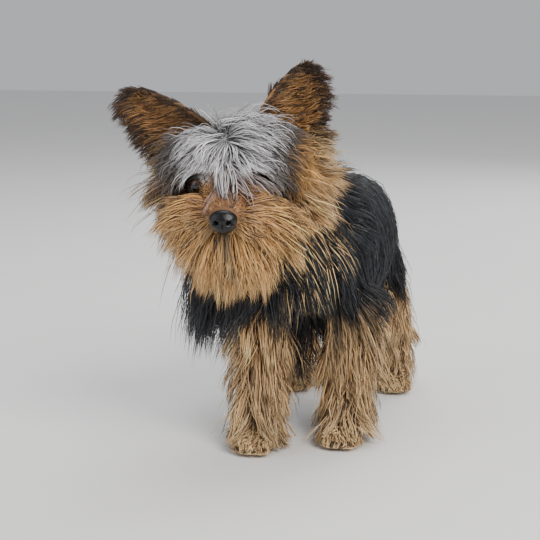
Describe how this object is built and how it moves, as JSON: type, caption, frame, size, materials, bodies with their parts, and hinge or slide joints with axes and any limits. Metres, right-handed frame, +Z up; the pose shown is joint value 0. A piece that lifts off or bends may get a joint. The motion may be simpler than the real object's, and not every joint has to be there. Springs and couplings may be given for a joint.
{
  "type": "yorkshire terrier",
  "caption": "Life-size still model of a standing yorkshire terrier with long hair and erect ears, its head turned to one side.",
  "frame": {"origin": "on the floor, under the middle of the dog's bounding box", "axes": "the body faces -Y, the dog's left side is +X, and +Z is up"},
  "size_m": [0.193, 0.3286, 0.2977],
  "materials": {
    "black_coat": "long straight black hair with a blue sheen",
    "silver_coat": "long silver hair, darker towards the ears",
    "gold_coat": "long gold hair with paler tips",
    "tan_coat": "long tan and cream hair with brown shadows",
    "ear_coat": "short rust hair over leather, with a dark brown fringe",
    "nose_leather": "black, pebbled and moist",
    "eye_glass": "dark brown, glossy",
    "claw_horn": "dark horn, satin"
  },
  "bodies": {
    "root": {"head": "silver_coat", "lower_jaw": "gold_coat", "nose": "nose_leather", "eye_left": "eye_glass", "eye_right": "eye_glass", "ear_left": "ear_coat", "ear_right": "ear_coat", "neck": "black_coat", "torso": "black_coat", "tail": "black_coat", "foreleg_left": "tan_coat", "hindleg_left": "tan_coat", "forepaw_left": "tan_coat", "hindpaw_left": "tan_coat", "foreclaw_left_1": "claw_horn", "foreclaw_left_2": "claw_horn", "foreclaw_left_3": "claw_horn", "foreclaw_left_4": "claw_horn", "hindclaw_left_1": "claw_horn", "hindclaw_left_2": "claw_horn", "hindclaw_left_3": "claw_horn", "hindclaw_left_4": "claw_horn", "foreleg_right": "tan_coat", "hindleg_right": "tan_coat", "forepaw_right": "tan_coat", "hindpaw_right": "tan_coat", "foreclaw_right_1": "claw_horn", "foreclaw_right_2": "claw_horn", "foreclaw_right_3": "claw_horn", "foreclaw_right_4": "claw_horn", "hindclaw_right_1": "claw_horn", "hindclaw_right_2": "claw_horn", "hindclaw_right_3": "claw_horn", "hindclaw_right_4": "claw_horn"}
  },
  "joints": []
}
